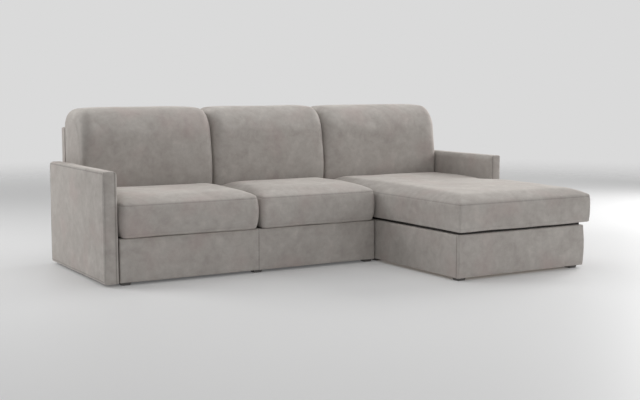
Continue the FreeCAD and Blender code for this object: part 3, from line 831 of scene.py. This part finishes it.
def dust_sheet():
    """Spun dust cloth stapled under the seat box, sagging a little between its edges."""
    low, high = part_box("sofa_underside_cloth")
    xs = np.linspace(low.x, high.x, 41)
    ys = np.linspace(low.y, high.y, 23)
    vertices = []
    for y in ys:
        for x in xs:
            u = 2 * (x - low.x) / (high.x - low.x) - 1
            v = 2 * (y - low.y) / (high.y - low.y) - 1
            ripple = noise.noise(Vector((x / 0.13, y / 0.09, 0.5))) * 0.5 * mm
            vertices.append((x, y, high.z - 0.4 * mm + (ripple - 2.2 * mm) * (1 - u ** 4) * (1 - v ** 4)))
    wide = len(xs)
    faces = [(r * wide + c, r * wide + c + 1, (r + 1) * wide + c + 1, (r + 1) * wide + c)
             for r in range(len(ys) - 1) for c in range(wide - 1)]
    obj = new_object("underside_dust_sheet", vertices, faces)
    obj.data.shade_smooth()
    dress(obj, dust_cloth, "frame", ["sofa_underside_cloth"])


dust_sheet()


# Finish of the CAD pieces that stay
def finish_of(node, slot):
    """The material of a CAD piece; timber has its grain along the piece's longest side."""
    # the lid board's edge shows in the slot under the chaise cushion; it is painted near black to stand for
    # the shade there
    if node == "chaise_lid_board":
        return slot_shade_plywood
    if slot == "softwood":
        low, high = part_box(node)
        return pine[max(range(3), key=lambda n: high[n] - low[n])]
    return slot_materials[slot]


for part in frame["record"]["subparts"]:
    node = nodes.get(part["node"])
    if node:
        node.data.materials.clear()
        node.data.materials.append(finish_of(part["node"], part["material_slot"]))


# Small fasteners and stitches, repeated on points by Geometry Nodes
def scatter_tree():
    """Puts Piece on every vertex, turned by the vertex's value turn, and gives all of it Finish."""
    tree = bpy.data.node_groups.new("pieces_on_points", "GeometryNodeTree")
    for name, kind in (("Geometry", "Geometry"), ("Piece", "Object"), ("Finish", "Material")):
        tree.interface.new_socket(name=name, in_out="INPUT", socket_type="NodeSocket" + kind)
    tree.interface.new_socket(name="Geometry", in_out="OUTPUT", socket_type="NodeSocketGeometry")
    given = add(tree, "NodeGroupInput").outputs
    turn = add(tree, "GeometryNodeInputNamedAttribute", {"Name": "turn"}, data_type="FLOAT_VECTOR")
    piece = add(tree, "GeometryNodeObjectInfo", {"Object": given["Piece"]})
    placed = add(tree, "GeometryNodeInstanceOnPoints", {
        "Points": given["Geometry"], "Instance": piece.outputs["Geometry"],
        "Rotation": turn.outputs["Attribute"]})
    real = add(tree, "GeometryNodeRealizeInstances", {"Geometry": placed.outputs[0]})
    finished = add(tree, "GeometryNodeSetMaterial", {"Geometry": real.outputs[0],
                                                     "Material": given["Finish"]})
    add(tree, "NodeGroupOutput", {"Geometry": finished.outputs[0]})
    return tree


scatter = scatter_tree()


def repeat(name, body, template, material, places):
    """One piece made of many: template at every (spot, outward, along) in places."""
    spots, outward, along = (np.array(column, dtype=float) for column in zip(*places))
    across = np.cross(outward, along)
    across /= np.linalg.norm(across, axis=1)[:, None]
    along = np.cross(across, outward)
    along /= np.linalg.norm(along, axis=1)[:, None]
    turns = np.stack([np.arctan2(across[:, 2], outward[:, 2]), np.arcsin(np.clip(-along[:, 2], -1, 1)),
                      np.arctan2(along[:, 1], along[:, 0])], 1)
    obj = new_object(name, spots.tolist(), [])
    turn = obj.data.attributes.new("turn", "FLOAT_VECTOR", "POINT")
    turn.data.foreach_set("vector", turns.ravel())
    modifier = obj.modifiers.new("repeat", "NODES")
    modifier.node_group = scatter
    for item in scatter.interface.items_tree:
        if item.in_out == "INPUT" and item.name == "Piece":
            modifier[item.identifier] = template
        if item.in_out == "INPUT" and item.name == "Finish":
            modifier[item.identifier] = material
    evaluated = obj.evaluated_get(bpy.context.evaluated_depsgraph_get())
    obj.data = bpy.data.meshes.new_from_object(evaluated)
    obj.modifiers.clear()
    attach(obj, body)


def template(name, rings, flipped=False):
    """Closed solid through rings of points; flipped where they run the other way round."""
    count = len(rings[0])
    faces = [[r * count + n, r * count + (n + 1) % count, (r + 1) * count + (n + 1) % count,
              (r + 1) * count + n] for r in range(len(rings) - 1) for n in range(count)]
    faces.append(list(range(count))[::-1])
    faces.append([(len(rings) - 1) * count + n for n in range(count)])
    if flipped:
        faces = [face[::-1] for face in faces]
    obj = new_object(name, [point for ring in rings for point in ring], faces)
    obj.data.shade_smooth()
    return obj


def turned(name, profile, count=24):
    """Closed solid turned about Z through (radius, height, sides) rings, round where sides is 0."""
    rings = []
    for radius, height, sides in profile:
        rings.append([])
        for n in range(count):
            angle = 2 * math.pi * n / count
            share = 1.0
            if sides:
                step = 2 * math.pi / sides
                share = math.cos(step / 2) / math.cos(angle % step - step / 2)
            rings[-1].append((radius * share * math.cos(angle), radius * share * math.sin(angle), height))
    return template(name, rings)


def stitch_template():
    """One stitch: thread 0.8 mm thick that dives into the cloth at both ends."""
    angles = [2 * math.pi * n / 5 for n in range(5)]
    rings = [[(x * mm, radius * math.cos(angle) * mm, (lift + radius * math.sin(angle)) * mm)
              for angle in angles]
             for x, lift, radius in ((-1.7, -0.25, 0.15), (-1.0, 0.1, 0.38), (0.0, 0.2, 0.42),
                                     (1.0, 0.1, 0.38), (1.7, -0.25, 0.15))]
    return template("stitch", rings, flipped=True)


def staple_template():
    """Staple crown 11 mm wide, its legs in the wood."""
    bends = [(-5.5, -1.0), (-5.5, 0.3), (-5.0, 0.8), (5.0, 0.8), (5.5, 0.3), (5.5, -1.0)]
    rings = []
    for x, z in bends:
        inner = (x * 0.88, z - 0.5 if abs(x) < 5.2 else z)
        corners = ((-0.6, (x, z)), (0.6, (x, z)), (0.6, inner), (-0.6, inner))
        rings.append([(px * mm, y * mm, pz * mm) for y, (px, pz) in corners])
    return template("staple", rings)


stitch = stitch_template()
staple = staple_template()
flat_screw = turned("flat_screw", [(3.9 * mm, 0, 0), (3.9 * mm, 0.5 * mm, 0), (3.1 * mm, 1.1 * mm, 0),
                                   (1.6 * mm, 1.1 * mm, 6), (1.4 * mm, 0.4 * mm, 6)])
hex_bolt = turned("hex_bolt", [(11 * mm, 0, 0), (11 * mm, 1.6 * mm, 0), (8 * mm, 1.7 * mm, 0),
                               (7.5 * mm, 1.8 * mm, 6), (7.5 * mm, 6.0 * mm, 6), (6.4 * mm, 6.8 * mm, 6)])

for body, rows in sewn_rows.items():
    repeat("stitches_" + body, body, stitch, thread, rows)

ahead, up, right = Vector((0, 1, 0)), Vector((0, 0, 1)), Vector((1, 0, 0))
frame_screws = []
lid_screws = []
for side, way in (("left", 1), ("right", -1)):
    low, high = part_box("base_bracket_" + side)
    face = high.x if way > 0 else low.x
    for y, z in ((172, 68), (240, 68), (204, 151), (258, 150)):
        frame_screws.append((Vector((face, y * mm, z * mm)), right * way, ahead))
    low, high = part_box("lid_bracket_" + side)
    edge_x = high.x - 9 * mm if way > 0 else low.x + 9 * mm
    for share in (0.1, 0.5, 0.9):
        y = low.y + (high.y - low.y) * share
        lid_screws.append((Vector((edge_x, y, high.z - 3 * mm)), -up, ahead))
low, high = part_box("chaise_lid_battens")
lid_middle = (low.x + high.x) / 2
for x in (low.x + 22.5 * mm, lid_middle, high.x - 22.5 * mm):
    for share in (0.04, 0.35, 0.65, 0.96):
        lid_screws.append((Vector((x, low.y + (high.y - low.y) * share, low.z)), -up, ahead))
repeat("bracket_screws", "frame", flat_screw, zinc, frame_screws)
repeat("lid_screws", "lid", flat_screw, zinc, lid_screws)

left_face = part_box("sofa_left_side_rail")[1].x
right_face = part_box("chaise_right_board")[0].x
bolts = [(Vector((x, y * mm, 150 * mm)), right * way, ahead)
         for x, way in ((left_face, 1), (right_face, -1)) for y in (71.5, 681.5)]
repeat("arm_bolts", "frame", hex_bolt, zinc, bolts)

low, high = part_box("sofa_underside_cloth")
edge = 9 * mm
staples = []
for n in range(26):
    x = low.x + 30 * mm + (high.x - low.x - 60 * mm) * n / 25
    staples += [(Vector((x, y, low.z + 0.4 * mm)), -up, right) for y in (low.y + edge, high.y - edge)]
for n in range(13):
    y = low.y + 40 * mm + (high.y - low.y - 80 * mm) * n / 12
    staples += [(Vector((x, y, low.z + 0.4 * mm)), -up, ahead) for x in (low.x + edge, high.x - edge)]
repeat("dust_sheet_staples", "frame", staple, zinc, staples)
for used in (stitch, staple, flat_screw, hex_bolt):
    bpy.data.objects.remove(used)


# Stage: pale floor, soft studio light, and the camera at the photograph's angle
def studio_floor():
    """Matt floor, with a faint glow of its own that keeps the shadows pale. It fades into the backdrop's
    tone far behind the sofa."""
    size = 30.0
    corners = [(-size, -size, 0), (size, -size, 0), (size, size, 0), (-size, size, 0)]
    floor = new_object("studio_floor", corners, [(0, 1, 2, 3)])
    material, tree, place = start_material("matt_studio_floor")
    away = add(tree, "ShaderNodeVectorMath", {0: place}, operation="LENGTH")
    fade = add(tree, "ShaderNodeMapRange", {"Value": away.outputs["Value"], "From Min": 2.6,
                                            "From Max": 10.0}, interpolation_type="SMOOTHSTEP")
    paint = add(tree, "ShaderNodeBsdfPrincipled", {
        "Base Color": linear("#cbcbcb"), "Roughness": 0.5, "Emission Color": linear("#ffffff"),
        "Emission Strength": 0.09})
    clear = add(tree, "ShaderNodeBsdfTransparent")
    mixed = add(tree, "ShaderNodeMixShader", {0: fade.outputs[0], 1: paint.outputs[0],
                                              2: clear.outputs[0]})
    add(tree, "ShaderNodeOutputMaterial", {"Surface": mixed.outputs[0]})
    floor.data.materials.append(material)


studio_floor()


def area_light(name, place, aim, size, power):
    lamp = bpy.data.lights.new(name, "AREA")
    lamp.shape = "RECTANGLE"
    lamp.size, lamp.size_y = size
    lamp.energy = power
    obj = bpy.data.objects.new(name, lamp)
    obj.location = place
    obj.rotation_euler = (Vector(aim) - Vector(place)).to_track_quat("-Z", "Y").to_euler()
    bpy.context.scene.collection.objects.link(obj)


softboxes = [
    ("overhead_softbox", (-0.4, 0.2, 3.6), (0, 0, 0), (4.5, 3.5), 74),
    ("rear_left_softbox", (-4.2, 3.2, 2.6), (-0.6, 0, 0.4), (2.6, 2.4), 158),
    ("front_left_softbox", (-3.4, -5.2, 2.6), (-0.4, 0, 0.4), (2.6, 2.4), 27),
    ("front_softbox", (1.0, -5.6, 2.4), (0.4, 0, 0.4), (2.6, 2.4), 66),
    ("front_right_softbox", (4.6, -4.0, 2.2), (0.8, -0.2, 0.4), (2.6, 2.4), 52),
    ("right_softbox", (5.2, 0.4, 2.2), (0.8, -0.2, 0.4), (2.6, 2.4), 190),
]
fill = 0.03
for softbox in softboxes:
    area_light(*softbox)

world = bpy.data.worlds.new("studio")
bpy.context.scene.world = world
world.use_nodes = True
sky = world.node_tree
sky.nodes.clear()
paths = add(sky, "ShaderNodeLightPath")
seen = add(sky, "ShaderNodeMath", {0: paths.outputs["Is Camera Ray"], 1: paths.outputs["Is Glossy Ray"]},
           operation="MAXIMUM")
around = add(sky, "ShaderNodeBackground", {"Color": linear("#ffffff"), "Strength": fill})
backdrop = add(sky, "ShaderNodeBackground", {"Color": linear("#dadada"), "Strength": 1.0})
mixed = add(sky, "ShaderNodeMixShader", {0: seen.outputs[0], 1: around.outputs[0], 2: backdrop.outputs[0]})
add(sky, "ShaderNodeOutputWorld", {"Surface": mixed.outputs[0]})

camera_data = bpy.data.cameras.new("camera")
camera_data.sensor_width = 36.0
camera_data.lens = 60.3
camera = bpy.data.objects.new("camera", camera_data)
camera.location = (-3.1411, -5.2901, 1.0286)
camera.rotation_euler = Euler((math.radians(90 - 6.02), 0, math.radians(-30.8)))
bpy.context.scene.collection.objects.link(camera)
bpy.context.scene.camera = camera
bpy.context.scene.view_settings.view_transform = "Standard"
